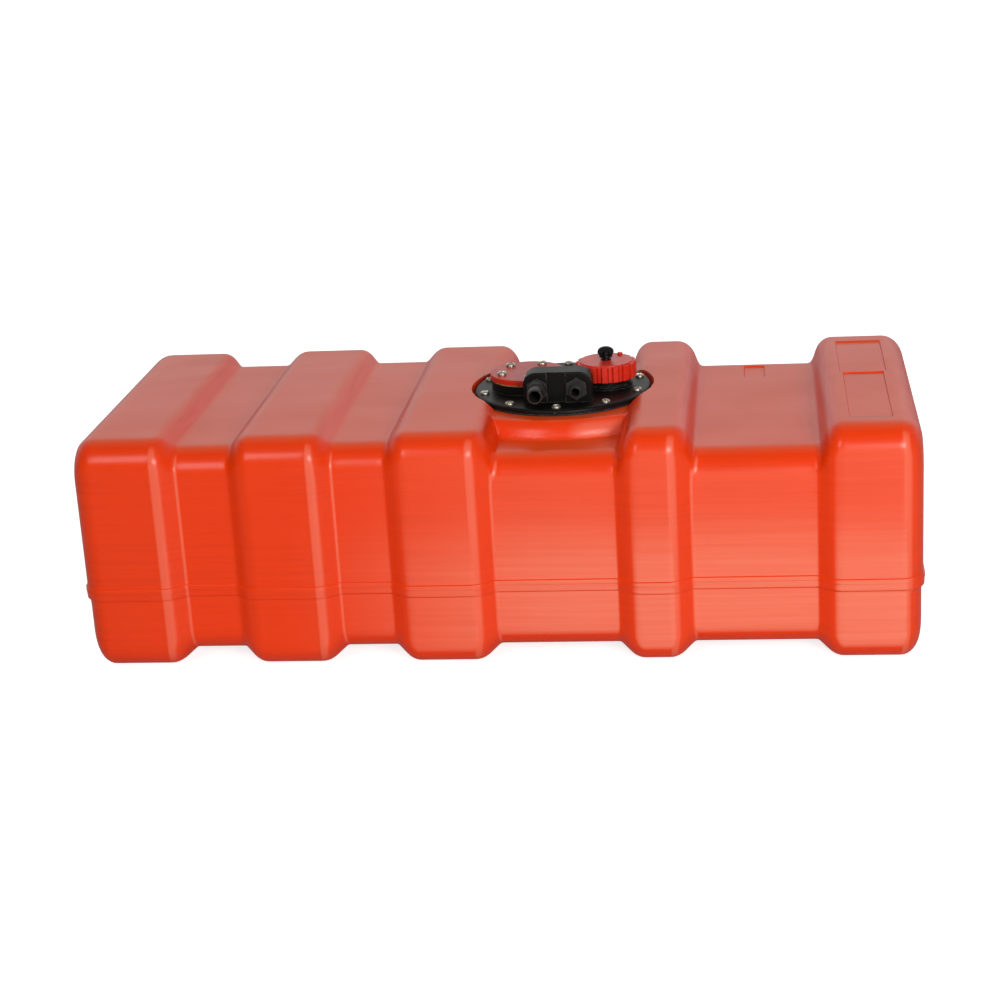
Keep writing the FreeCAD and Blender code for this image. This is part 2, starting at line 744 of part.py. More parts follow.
def main():
    nodes = {
        "tank_shell": make_tank_shell(),
        "neck_inserts": threaded_inserts(flange_places(), screw_shank, insert_length, land_z),
        "flange_gasket": make_flange_gasket(),
        "flange_plate": make_flange_plate(),
        "flange_screws": pan_screws(flange_places(), screw_shank, screw_head, screw_head_height,
                                    plate_top_z, land_z - insert_length),
        "sender_gasket": make_sender_gasket(),
        "sender_cover": make_sender_cover(),
        "sender_cover_screws": pan_screws(sender_places(), sender_shank, sender_head,
                                          sender_head_height, cover_top_z,
                                          sender_neck_z - sender_insert_length),
        "sender_inserts": threaded_inserts(sender_places(), sender_shank, sender_insert_length,
                                           sender_neck_z),
        "vent_nozzle": make_nozzle(vent_nozzle_x, vent_mouth_y, vent_nozzle_bore, vent_tail_radius,
                                   vent_collar_radius, vent_collar_length),
        "vent_nozzle_seal": make_nozzle_seal(vent_nozzle_x),
        "fuel_nozzle": make_nozzle(fuel_nozzle_x, fuel_mouth_y, fuel_nozzle_bore, fuel_tail_radius,
                                   fuel_collar_radius, fuel_collar_length),
        "fuel_nozzle_seal": make_nozzle_seal(fuel_nozzle_x),
        "pickup_tube": make_pickup_tube(),
        "pickup_seal": make_pickup_seal(),
        "pickup_strainer": make_pickup_strainer(),
        "filler_cap": make_filler_cap(),
        "cap_seal": make_cap_seal(),
        "vent_seal": make_vent_seal(),
        "vent_screw": make_vent_screw(),
    }
    os.makedirs("parts", exist_ok=True)
    for node, shape in nodes.items():
        shape.exportStep("parts/" + node + ".step")
        print(node, len(shape.Solids), "solids", round(shape.Volume, 1), "mm3", shape.isValid())
    print("fuel space, litres", round(tank_skin(wall).Volume / 1e6, 2))


main()
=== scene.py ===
import bmesh
import bpy
import numpy as np
from mathutils import Matrix


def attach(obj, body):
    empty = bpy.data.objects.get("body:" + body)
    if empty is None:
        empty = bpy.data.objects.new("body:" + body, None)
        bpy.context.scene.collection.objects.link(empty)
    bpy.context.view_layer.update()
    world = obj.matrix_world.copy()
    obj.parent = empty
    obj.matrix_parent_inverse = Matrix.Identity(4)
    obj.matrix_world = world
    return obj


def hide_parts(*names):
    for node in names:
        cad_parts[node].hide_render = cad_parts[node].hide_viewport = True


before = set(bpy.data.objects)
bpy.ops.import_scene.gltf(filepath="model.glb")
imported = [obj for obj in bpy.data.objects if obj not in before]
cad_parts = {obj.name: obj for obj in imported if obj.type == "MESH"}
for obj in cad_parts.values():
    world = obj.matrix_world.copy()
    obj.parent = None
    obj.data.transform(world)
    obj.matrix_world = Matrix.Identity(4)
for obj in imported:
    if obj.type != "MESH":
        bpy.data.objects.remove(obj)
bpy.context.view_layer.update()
print("frame loaded")

mm = 0.001


def smoothStep(value):
    # 0 to 1 with flat ends
    t = np.clip(value, 0.0, 1.0)
    return t * t * (3.0 - 2.0 * t)


def gridFaces(rows, columns, closed=False, start=0):
    # quads of a grid of rows x columns points, the last column joined to the first when closed
    index = np.arange(rows * columns).reshape(rows, columns) + start
    if closed:
        index = np.concatenate([index, index[:, :1]], axis=1)
    quads = np.stack([index[:-1, :-1], index[:-1, 1:], index[1:, 1:], index[1:, :-1]], axis=-1)
    return quads.reshape(-1, 4)


def joined(parts):
    # several (points, quads) into one pair
    points, faces, start = [], [], 0
    for p, f in parts:
        points.append(np.asarray(p, float).reshape(-1, 3))
        faces.append(np.asarray(f).reshape(-1, 4) + start)
        start += len(points[-1])
    return np.concatenate(points), np.concatenate(faces)


def makePiece(name, parts, material, body, nodes=(), sharp=40.0, weld=0.004):
    # one object from (points in mm, quads) parts: welded, turned outwards, smooth below the sharp angle
    points, faces = joined(parts)
    keys = np.round(points / weld).astype(np.int64)
    _, first, back = np.unique(keys, axis=0, return_index=True, return_inverse=True)
    points = points[first]
    faces = back.reshape(-1)[faces]
    same = (faces == np.roll(faces, -1, axis=1)).sum(axis=1)
    polygons = [tuple(dict.fromkeys(face)) if doubled else tuple(face)
                for face, doubled in zip(faces[same < 2].tolist(), same[same < 2])]
    mesh = bpy.data.meshes.new(name)
    mesh.from_pydata((points * mm).tolist(), [], polygons)
    mesh.validate()
    mesh.materials.append(material)
    piece = bpy.data.objects.new(name, mesh)
    bpy.context.collection.objects.link(piece)
    turnOutwards(mesh)
    mesh.shade_smooth()
    mesh.set_sharp_from_angle(angle=np.radians(sharp))
    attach(piece, body)
    if nodes:
        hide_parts(*nodes)
    print("made", name, len(mesh.polygons), "faces")


def turnOutwards(mesh):
    # every face's normal away from the inside of its own closed shell
    shell = bmesh.new()
    shell.from_mesh(mesh)
    bmesh.ops.recalc_face_normals(shell, faces=shell.faces)
    shell.to_mesh(mesh)
    shell.free()


def linear(hexColour):
    # sRGB hex to linear RGBA
    value = np.array([int(hexColour[i:i + 2], 16) for i in (1, 3, 5)]) / 255.0
    low = value <= 0.04045
    out = np.where(low, value / 12.92, ((value + 0.055) / 1.055) ** 2.4)
    return (*[float(v) for v in out], 1.0)


def every(size):
    # texture scale whose features stand this many millimetres apart
    return 1.0 / (size * mm)


def addNode(tree, kind, inputs=None, **settings):
    # a node with its settings; an input is a value or another node's output
    node = tree.nodes.new(kind)
    for name, value in settings.items():
        setattr(node, name, value)
    for key, value in (inputs or {}).items():
        if isinstance(value, bpy.types.NodeSocket):
            tree.links.new(value, node.inputs[key])
        else:
            node.inputs[key].default_value = value
    return node


def newMaterial(name):
    # a material with its node tree and its shader
    material = bpy.data.materials.new(name)
    material.use_nodes = True
    tree = material.node_tree
    return material, tree, tree.nodes["Principled BSDF"]


def dustSpecks(tree, place, base, dust, colour):
    # pale specks about a millimetre apart that lie on the moulded skin
    specks = addNode(tree, "ShaderNodeTexNoise", {"Vector": place, "Scale": every(1.11), "Detail": 4.0})
    mask = addNode(tree, "ShaderNodeMapRange", {"Value": specks.outputs["Fac"], "From Min": 0.56,
                                                "From Max": 0.75, "To Min": 0.0, "To Max": dust})
    mix = addNode(tree, "ShaderNodeMix", {"Factor": mask.outputs[0], 6: base, 7: linear(colour)},
                  data_type="RGBA")
    return mix.outputs[2]


def wornEdges(tree, place, base, worn):
    # where a rounded normal leaves the real one there is an edge; chips 3 mm apart rub it pale
    rounded = addNode(tree, "ShaderNodeBevel", {"Radius": 0.8 * mm}, samples=6)
    surface = addNode(tree, "ShaderNodeNewGeometry")
    match = addNode(tree, "ShaderNodeVectorMath", {0: rounded.outputs[0], 1: surface.outputs["Normal"]},
                    operation="DOT_PRODUCT")
    edge = addNode(tree, "ShaderNodeMapRange", {"Value": match.outputs["Value"], "From Min": 0.985,
                                                "From Max": 0.88, "To Min": 0.0, "To Max": 1.0})
    chips = addNode(tree, "ShaderNodeTexNoise", {"Vector": place, "Scale": every(2.86), "Detail": 3.0})
    patchy = addNode(tree, "ShaderNodeMapRange", {"Value": chips.outputs["Fac"], "From Min": 0.42,
                                                  "From Max": 0.72, "To Min": 0.1 * worn, "To Max": worn})
    wearAndHighlight = addNode(tree, "ShaderNodeMath", {0: edge.outputs[0], 1: patchy.outputs[0]},
                     operation="MULTIPLY")
    mix = addNode(tree, "ShaderNodeMix", {"Factor": wearAndHighlight.outputs[0], 6: base, 7: linear("#8E887F")},
                  data_type="RGBA")
    return mix.outputs[2]


def mouldedPlastic(name, colour, shade, roughness, grain, dust=0.0, dustColour="#C9B9AE", worn=0.0,
                   sheen=0.34):
    # injection-moulded plastic: satin, an even grain of grain mm, a drifting colour, edges rubbed pale
    material, tree, shader = newMaterial(name)
    place = addNode(tree, "ShaderNodeTexCoord").outputs["Object"]
    drift = addNode(tree, "ShaderNodeTexNoise", {"Vector": place, "Scale": every(16.7), "Detail": 3.0})
    mix = addNode(tree, "ShaderNodeMix", {"Factor": drift.outputs["Fac"], 6: linear(colour),
                                          7: linear(shade)}, data_type="RGBA")
    base = mix.outputs[2]
    if dust > 0.0:
        base = dustSpecks(tree, place, base, dust, dustColour)
    if worn > 0.0:
        base = wornEdges(tree, place, base, worn)
    tree.links.new(base, shader.inputs["Base Color"])
    fine = addNode(tree, "ShaderNodeTexNoise", {"Vector": place, "Scale": every(grain), "Detail": 2.0})
    rough = addNode(tree, "ShaderNodeMapRange", {"Value": drift.outputs["Fac"], "To Min": roughness - 0.05,
                                                 "To Max": roughness + 0.06})
    tree.links.new(rough.outputs[0], shader.inputs["Roughness"])
    bump = addNode(tree, "ShaderNodeBump", {"Height": fine.outputs["Fac"], "Strength": 0.25,
                                            "Distance": 0.04 * mm})
    tree.links.new(bump.outputs[0], shader.inputs["Normal"])
    shader.inputs["IOR"].default_value = 1.5
    shader.inputs["Specular IOR Level"].default_value = sheen
    return material


# faint witness rings that the mould's inserts left: centre and radius
mouldRings = (((-196.0, -108.0, 230.0), 10.0), ((-191.0, 124.0, 230.0), 10.0),
              ((247.4, 13.4, 205.5), 34.0), ((246.9, 69.2, 205.5), 12.5), ((246.5, -49.5, 205.5), 15.0),
              ((-42.4, -175.0, 151.9), 4.5), ((245.6, -163.0, 142.0), 4.5))


def dragLines(tree, place):
    # lines drawn along the wall: noise 200 mm long and 3.4 mm high, wandering slowly up and down
    wandering = addNode(tree, "ShaderNodeTexNoise", {"Vector": place, "Scale": every(333.3), "Detail": 0.0})
    wander = addNode(tree, "ShaderNodeVectorMath", {0: wandering.outputs["Color"], 1: (0.0, 0.0, 20 * mm)},
                     operation="MULTIPLY")
    bent = addNode(tree, "ShaderNodeVectorMath", {0: place, 1: wander.outputs[0]}, operation="ADD")
    stretched = addNode(tree, "ShaderNodeMapping", {"Vector": bent.outputs[0],
                                                    "Scale": (every(200.0), every(71.43), every(3.448))})
    streaks = addNode(tree, "ShaderNodeTexNoise", {"Vector": stretched.outputs[0], "Scale": 1.0,
                                                   "Detail": 3.0, "Roughness": 0.5})
    return streaks.outputs["Fac"]


def tankColour(tree, place, streaks):
    # a red-orange that drifts over 200 mm, darker along the drag lines in patches 60 mm apart
    drift = addNode(tree, "ShaderNodeTexNoise", {"Vector": place, "Scale": every(200.0), "Detail": 3.0})
    mix = addNode(tree, "ShaderNodeMix", {"Factor": drift.outputs["Fac"], 6: linear("#F03C02"),
                                          7: linear("#E83800")}, data_type="RGBA")
    dragged = addNode(tree, "ShaderNodeMapRange", {"Value": streaks, "From Min": 0.42, "From Max": 0.64,
                                                   "To Min": 0.0, "To Max": 0.24})
    patches = addNode(tree, "ShaderNodeTexNoise", {"Vector": place, "Scale": every(62.5), "Detail": 2.0})
    shown = addNode(tree, "ShaderNodeMapRange", {"Value": patches.outputs["Fac"], "From Min": 0.4,
                                                 "From Max": 0.66, "To Min": 0.12, "To Max": 1.0})
    drawn = addNode(tree, "ShaderNodeMath", {0: dragged.outputs[0], 1: shown.outputs[0]},
                    operation="MULTIPLY")
    lined = addNode(tree, "ShaderNodeMix", {"Factor": drawn.outputs[0], 6: mix.outputs[2],
                                            7: linear("#D03000")}, data_type="RGBA")
    return lined.outputs[2]


def paintedReflectionAndHighlight(tree, place, streaks, facing, upright):
    # painted reflection of a bright floor: a pale veil on the flats, low down towards the filler's end,
    # broken up by the drag lines; with painted highlight strips on the roundings
    axes = addNode(tree, "ShaderNodeSeparateXYZ", {0: place})
    along = addNode(tree, "ShaderNodeMapRange", {"Value": axes.outputs["X"], "From Min": -0.22,
                                                 "From Max": 0.08}, interpolation_type="SMOOTHSTEP")
    height = addNode(tree, "ShaderNodeMapRange", {"Value": axes.outputs["Z"], "From Min": 0.17,
                                                  "From Max": 0.08, "To Min": 0.28, "To Max": 1.0},
                     interpolation_type="SMOOTHSTEP")
    broken = addNode(tree, "ShaderNodeMapRange", {"Value": streaks, "From Min": 0.3, "From Max": 0.6,
                                                  "To Min": 1.0, "To Max": 0.82})
    flat = addNode(tree, "ShaderNodeMapRange", {"Value": upright, "From Min": 0.9, "From Max": 0.99},
                   interpolation_type="SMOOTHSTEP")
    spread = addNode(tree, "ShaderNodeMath", {0: along.outputs[0], 1: flat.outputs[0]}, operation="MULTIPLY")
    low = addNode(tree, "ShaderNodeMath", {0: spread.outputs[0], 1: height.outputs[0]}, operation="MULTIPLY")
    paleVeil = addNode(tree, "ShaderNodeMath", {0: low.outputs[0], 1: broken.outputs[0]}, operation="MULTIPLY")
    # painted highlight: fainter strips down the roundings that face the filler's end
    wearAndHighlight = addNode(tree, "ShaderNodeMapRange", {"Value": facing.outputs["X"], "From Min": 0.05,
                                                  "From Max": 0.16, "To Max": 0.5},
                     interpolation_type="SMOOTHSTEP")
    turning = addNode(tree, "ShaderNodeMapRange", {"Value": facing.outputs["X"], "From Min": 0.36,
                                                   "From Max": 0.52, "To Min": 1.0, "To Max": 0.14},
                      interpolation_type="SMOOTHSTEP")
    standing = addNode(tree, "ShaderNodeMapRange", {"Value": upright, "From Min": 0.5, "From Max": 0.8},
                       interpolation_type="SMOOTHSTEP")
    edges = addNode(tree, "ShaderNodeMath", {0: wearAndHighlight.outputs[0], 1: turning.outputs[0]},
                    operation="MULTIPLY")
    highlightStrips = addNode(tree, "ShaderNodeMath", {0: edges.outputs[0], 1: standing.outputs[0]},
                     operation="MULTIPLY")
    # painted reflection and painted highlight strips, whichever is stronger
    return addNode(tree, "ShaderNodeMath", {0: paleVeil.outputs[0], 1: highlightStrips.outputs[0]},
                   operation="MAXIMUM").outputs[0]


def tankBumps(tree, place, streaks):
    # slow waves 70 mm apart, the drag lines, the mould's rings and a fine grain, one upon the other
    waves = addNode(tree, "ShaderNodeTexNoise", {"Vector": place, "Scale": every(71.43), "Detail": 1.0})
    slow = addNode(tree, "ShaderNodeBump", {"Height": waves.outputs["Fac"], "Strength": 0.5,
                                            "Distance": 1.2 * mm})
    lines = addNode(tree, "ShaderNodeBump", {"Height": streaks, "Strength": 0.2, "Distance": 0.4 * mm,
                                             "Normal": slow.outputs[0]})
    marked = lines.outputs[0]
    for centre, radius in mouldRings:
        off = addNode(tree, "ShaderNodeVectorMath", {0: place, 1: tuple(v * mm for v in centre)},
                      operation="DISTANCE")
        near = addNode(tree, "ShaderNodeMath", {0: off.outputs["Value"], 1: radius * mm, 2: 0.7 * mm},
                       operation="COMPARE")
        marked = addNode(tree, "ShaderNodeBump", {"Height": near.outputs[0], "Strength": 0.35,
                                                  "Distance": 0.2 * mm, "Normal": marked}).outputs[0]
    grain = addNode(tree, "ShaderNodeTexNoise", {"Vector": place, "Scale": every(0.714), "Detail": 2.0})
    skin = addNode(tree, "ShaderNodeBump", {"Height": grain.outputs["Fac"], "Strength": 0.3,
                                            "Distance": 0.04 * mm, "Normal": marked})
    return skin.outputs[0]


def blowMouldedPolyethylene():
    # blow-moulded polyethylene: waxy semi-gloss skin, slow waves in the wall, soft drag lines along it
    material, tree, shader = newMaterial("blow_moulded_polyethylene")
    place = addNode(tree, "ShaderNodeTexCoord").outputs["Object"]
    streaks = dragLines(tree, place)
    surface = addNode(tree, "ShaderNodeNewGeometry")
    facing = addNode(tree, "ShaderNodeSeparateXYZ", {0: surface.outputs["Normal"]})
    upright = addNode(tree, "ShaderNodeMath", {0: facing.outputs["Y"]}, operation="ABSOLUTE").outputs[0]
    # the pale #F27A5E here is painted reflection and painted highlight on the tank's own colour
    withPaintedReflection = addNode(tree, "ShaderNodeMix", {"Factor": paintedReflectionAndHighlight(tree, place, streaks, facing, upright),
                                               6: tankColour(tree, place, streaks), 7: linear("#F27A5E")},
                       data_type="RGBA")
    # the upward faces painted a lighter orange: painted light from above
    sunlit = addNode(tree, "ShaderNodeMapRange", {"Value": facing.outputs["Z"], "From Min": 0.8,
                                                  "From Max": 0.99, "To Max": 0.3})
    withPaintedTopLight = addNode(tree, "ShaderNodeMix", {"Factor": sunlit.outputs[0], 6: withPaintedReflection.outputs[2],
                                            7: linear("#F06A1E")}, data_type="RGBA")
    tree.links.new(withPaintedTopLight.outputs[2], shader.inputs["Base Color"])
    rough = addNode(tree, "ShaderNodeMapRange", {"Value": streaks, "From Min": 0.3, "From Max": 0.7,
                                                 "To Min": 0.36, "To Max": 0.44})
    tree.links.new(rough.outputs[0], shader.inputs["Roughness"])
    around = addNode(tree, "ShaderNodeTangent", direction_type="RADIAL", axis="X")
    tree.links.new(around.outputs[0], shader.inputs["Tangent"])
    tree.links.new(tankBumps(tree, place, streaks), shader.inputs["Normal"])
    for socket, value in (("IOR", 1.51), ("Specular IOR Level", 0.12), ("Anisotropic", 0.5),
                          ("Coat Weight", 0.42), ("Coat Roughness", 0.26)):
        shader.inputs[socket].default_value = value
    return material


def pressedCork():
    # pressed cork granules, 1 to 2 mm, tan with darker bark
    material, tree, shader = newMaterial("pressed_cork")
    place = addNode(tree, "ShaderNodeTexCoord").outputs["Object"]
    granules = addNode(tree, "ShaderNodeTexVoronoi", {"Vector": place, "Scale": every(1.25)})
    tone = addNode(tree, "ShaderNodeMix", {"Factor": granules.outputs["Distance"], 6: linear("#C79B5E"),
                                           7: linear("#7A5128")}, data_type="RGBA")
    tree.links.new(tone.outputs[2], shader.inputs["Base Color"])
    bump = addNode(tree, "ShaderNodeBump", {"Height": granules.outputs["Distance"], "Strength": 0.6,
                                            "Distance": 0.3 * mm})
    tree.links.new(bump.outputs[0], shader.inputs["Normal"])
    shader.inputs["Roughness"].default_value = 0.85
    return material


def stainlessSteel():
    # cold-headed stainless screws: bright, a little tumbled and spotted
    material, tree, shader = newMaterial("stainless_steel")
    place = addNode(tree, "ShaderNodeTexCoord").outputs["Object"]
    tumbled = addNode(tree, "ShaderNodeTexNoise", {"Vector": place, "Scale": every(1.43), "Detail": 4.0})
    tone = addNode(tree, "ShaderNodeMix", {"Factor": tumbled.outputs["Fac"], 6: linear("#E2DCCC"),
                                           7: linear("#8F8776")}, data_type="RGBA")
    tree.links.new(tone.outputs[2], shader.inputs["Base Color"])
    rough = addNode(tree, "ShaderNodeMapRange", {"Value": tumbled.outputs["Fac"], "To Min": 0.28,
                                                 "To Max": 0.55})
    tree.links.new(rough.outputs[0], shader.inputs["Roughness"])
    bump = addNode(tree, "ShaderNodeBump", {"Height": tumbled.outputs["Fac"], "Strength": 0.3,
                                            "Distance": 0.1 * mm})
    tree.links.new(bump.outputs[0], shader.inputs["Normal"])
    shader.inputs["Metallic"].default_value = 1.0
    return material


def machinedBrass():
    # knurled brass inserts, turned finish
    material, tree, shader = newMaterial("machined_brass")
    place = addNode(tree, "ShaderNodeTexCoord").outputs["Object"]
    turned = addNode(tree, "ShaderNodeTexNoise", {"Vector": place, "Scale": every(2.0), "Detail": 3.0})
    tone = addNode(tree, "ShaderNodeMix", {"Factor": turned.outputs["Fac"], 6: linear("#D9B75E"),
                                           7: linear("#B08A3A")}, data_type="RGBA")
    tree.links.new(tone.outputs[2], shader.inputs["Base Color"])
    shader.inputs["Metallic"].default_value = 1.0
    shader.inputs["Roughness"].default_value = 0.3
    return material


def mouldedRubber():
    # black nitrile rubber, matt with a faint bloom
    material, tree, shader = newMaterial("nitrile_rubber")
    place = addNode(tree, "ShaderNodeTexCoord").outputs["Object"]
    paleVeil = addNode(tree, "ShaderNodeTexNoise", {"Vector": place, "Scale": every(3.33), "Detail": 4.0})
    tone = addNode(tree, "ShaderNodeMix", {"Factor": paleVeil.outputs["Fac"], 6: linear("#121212"),
                                           7: linear("#262524")}, data_type="RGBA")
    tree.links.new(tone.outputs[2], shader.inputs["Base Color"])
    shader.inputs["Roughness"].default_value = 0.7
    return material


tankPlastic = blowMouldedPolyethylene()
capPlastic = mouldedPlastic("cap_polypropylene", "#E0301A", "#D42A16", 0.33, 0.667, 0.1, "#E9B7A6")
coverPlastic = mouldedPlastic("cover_polypropylene", "#CC2E18", "#C02714", 0.36, 0.667)
blackPlastic = mouldedPlastic("black_glass_filled_nylon", "#0B0A09", "#131110", 0.42, 0.833, 0.05,
                              "#6E6558", 0.8, sheen=0.15)
nozzlePlastic = mouldedPlastic("black_nozzle_nylon", "#232220", "#2C2A28", 0.4, 0.833, worn=0.35)
screwPlastic = mouldedPlastic("black_thumb_screw_nylon", "#050505", "#0A0909", 0.32, 0.667)
strainerPlastic = mouldedPlastic("natural_nylon", "#E4E0D2", "#D6D1C0", 0.5, 1.11)
cork = pressedCork()
stainless = stainlessSteel()
brass = machinedBrass()
rubber = mouldedRubber()

nodeFinishes = {
    "neck_inserts": brass, "sender_inserts": brass, "flange_gasket": rubber, "flange_plate": blackPlastic,
    "flange_screws": stainless, "sender_gasket": cork, "sender_cover": coverPlastic,
    "sender_cover_screws": stainless, "vent_nozzle": nozzlePlastic, "vent_nozzle_seal": rubber,
    "fuel_nozzle": nozzlePlastic, "fuel_nozzle_seal": rubber, "pickup_tube": nozzlePlastic,
    "pickup_seal": rubber, "pickup_strainer": strainerPlastic, "filler_cap": capPlastic,
    "cap_seal": rubber, "vent_seal": rubber, "vent_screw": screwPlastic, "tank_shell": tankPlastic,
}
for nodeName, finish in nodeFinishes.items():
    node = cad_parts[nodeName]
    for materialSlot in node.material_slots:
        materialSlot.material = finish
print("materials set")


tank = dict(length=800.0, width=350.0, height=230.0, wall=5.0, longEdge=25.0, endEdge=21.0,
            narrowMouth=66.0, wideMouth=132.0, sideDepth=12.0, shallowTop=12.0, deepTop=24.5,
            footRadius=6.0, sideEdge=24.0, sideAngle=37.0, topEdge=18.0, shallowAngle=45.0,
            deepAngle=69.0, leftShift=6.8, bandLow=72.0, bandHigh=84.5, bandSeam=80.4, bandProud=2.0,
            lowerStep=1.7)
channels = ((-275.0, tank["narrowMouth"], tank["shallowTop"], tank["shallowAngle"], 0.0),
            (-125.0, tank["narrowMouth"], tank["shallowTop"], tank["shallowAngle"], 0.0),
            (58.0, tank["wideMouth"], tank["deepTop"], tank["deepAngle"], tank["leftShift"]),
            (245.0, tank["wideMouth"], tank["deepTop"], tank["deepAngle"], tank["leftShift"]))
neck = dict(x=58.0, landZ=222.0, landHalf=99.0, landCorner=80.0, landReach=74.0, landDraft=10.5,
            blend=5.5, wellRadius=89.8, wellEase=0.8, opening=70.0, ringRadius=96.0,
            ringZ=208.0, patchX=103.0, patchY=114.0)
label = dict(depth=1.3, ease=0.45, fields=(((331.0, 376.0), (19.0, 133.0)), ((334.0, 373.0), (-137.0, 15.0)),
                                           ((236.75, 257.25), (93.5, 134.5))))


def wallInset(distance, depth, angle, edgeRadius, footRadius):
    # depth left at a distance out from a channel's floor: arc off the floor, slope, arc over the edge
    a = np.radians(angle)
    slope = (depth - (edgeRadius + footRadius) * (1 - np.cos(a))) / np.sin(a)
    footRun = footRadius * np.sin(a)
    footRise = footRadius * (1 - np.cos(a))
    slopeEnd = footRun + slope * np.cos(a)
    run = slopeEnd + edgeRadius * np.sin(a)
    foot = footRadius - np.sqrt(footRadius ** 2 - np.clip(distance, 0, footRun) ** 2)
    straight = footRise + (distance - footRun) * np.tan(a)
    left = np.clip(run - distance, 0, edgeRadius * np.sin(a))
    edge = depth - edgeRadius + np.sqrt(edgeRadius ** 2 - left ** 2)
    rise = np.where(distance <= footRun, foot, np.where(distance <= slopeEnd, straight, edge))
    midRun = footRun + (depth / 2 - footRise) / np.tan(a)
    return depth - rise, run, midRun


def insetsAt(x, skin):
    # side and top inset of the channels at each x, on a skin inside the outer surface
    side = np.zeros_like(x)
    top = np.zeros_like(x)
    foot = tank["footRadius"] + skin
    for centre, mouth, topDepth, topAngle, leftShift in channels:
        for total, depth, angle, edge, shift in (
                (side, tank["sideDepth"], tank["sideAngle"], tank["sideEdge"], 0.0),
                (top, topDepth, topAngle, tank["topEdge"], leftShift)):
            midRun = wallInset(np.zeros(1), depth, angle, edge - skin, foot)[2]
            distance = np.abs(x - centre) - (mouth / 2 - midRun) + np.where(x < centre, shift, 0.0)
            total += wallInset(distance, depth, angle, edge - skin, foot)[0]
    return side, top


def wallSpans():
    # where each channel's walls start and end along x
    spans = []
    for centre, mouth, topDepth, topAngle, leftShift in channels:
        for way in (-1.0, 1.0):
            reaches = []
            for depth, angle, edge, shift in (
                    (tank["sideDepth"], tank["sideAngle"], tank["sideEdge"], 0.0),
                    (topDepth, topAngle, tank["topEdge"], leftShift if way < 0 else 0.0)):
                _, run, midRun = wallInset(np.zeros(1), depth, angle, edge, tank["footRadius"])
                reaches += [mouth / 2 - midRun - shift, mouth / 2 - midRun + run - shift]
            ends = (centre + way * min(reaches), centre + way * max(reaches))
            spans.append((min(ends), max(ends)))
    return spans


def stations(skin, wallCells, flatStep, endCells):
    # x of each section: close together over the walls and end roundings, wide apart on the flats
    half = tank["length"] / 2 - skin
    radius = tank["endEdge"] - skin
    turn = np.linspace(0.0, np.pi / 2, endCells + 1)
    end = half - radius * (1 - np.sin(turn))
    labelEdges = [edge for across, _ in label["fields"] for edge in across]
    marks = [-end[0], end[0], neck["x"] - neck["patchX"], neck["x"] + neck["patchX"]]
    lines = [-end, end]
    for low, high in wallSpans():
        lines.append(np.linspace(low, high, wallCells + 1))
        marks += [low, high]
    if skin == 0.0:
        for edge in labelEdges:
            lines.append(np.array([edge - label["ease"], edge, edge + label["ease"]]))
            marks += [edge - label["ease"], edge + label["ease"]]
    marks = np.unique(np.round(marks, 4))
    for low, high in zip(marks[:-1], marks[1:]):
        lines.append(np.linspace(low, high, max(1, int(np.ceil((high - low) / flatStep))) + 1))
    x = np.unique(np.round(np.concatenate(lines), 4))
    inWall = np.zeros(len(x), bool)
    for low, high in wallSpans():
        inWall |= (x > low + 1e-3) & (x < high - 1e-3)
    wallLines = np.unique(np.round(np.concatenate([np.linspace(low, high, wallCells + 1)
                                                   for low, high in wallSpans()]), 4))
    keep = ~inWall | np.isin(x, wallLines)
    if skin == 0.0:
        for edge in labelEdges:
            keep |= np.abs(x - edge) < label["ease"] + 1e-3
    return x[keep]


def topLevels(skin, step):
    # y of the section's top points inside the patch, and shares of the way from it to the edge
    marks = [-neck["patchY"], neck["patchY"]]
    if skin == 0.0:
        for _, along in label["fields"]:
            for edge in along:
                if abs(edge) < neck["patchY"]:
                    marks += [edge - label["ease"], edge, edge + label["ease"]]
    marks = np.unique(np.round(marks, 4))
    inner = [np.linspace(low, high, max(1, int(np.ceil((high - low) / step))) + 1)
             for low, high in zip(marks[:-1], marks[1:])]
    inner = np.unique(np.round(np.concatenate(inner), 4))
    if skin == 0.0:
        shares = np.array([0.25, 0.50, 0.528, 0.555, 0.612, 0.639, 0.666, 0.83, 0.854, 0.878, 1.0])
    else:
        shares = np.array([0.5, 1.0])
    return inner, shares


def sideLevels(skin, cells):
    # z of the side points that stay put round the band, and shares of the way to the corners
    band = np.concatenate([tank["bandHigh"] + np.array([0.6, 0.15, -0.1, -0.5]),
                           tank["bandSeam"] + np.array([2.2, 0.8, 0.4, 0.0, -0.4, -0.8, -3.4, -5.8]),
                           tank["bandLow"] + np.array([1.2, 0.8, 0.3, 0.1, -0.5])])
    if skin > 0.0:
        band = np.array([90.0, 79.0, 68.0])  # the inside has no band
    return band, np.linspace(0.0, 1.0, cells + 1)


def bandHeight(z):
    # how far the parting band stands out: a crisp top ledge, a soft lower one, a fine seam between
    edges = (smoothStep((z - tank["bandLow"]) / 1.2)
             * smoothStep((tank["bandHigh"] + 0.15 - z) / 0.35))
    seam = 0.3 * np.exp(-((z - tank["bandSeam"]) / 0.45) ** 2)
    slope = 1.0 + 0.6 * np.clip((z - tank["bandLow"]) / (tank["bandHigh"] - tank["bandLow"]), 0, 1)
    return edges * np.minimum(slope + seam, tank["bandProud"])


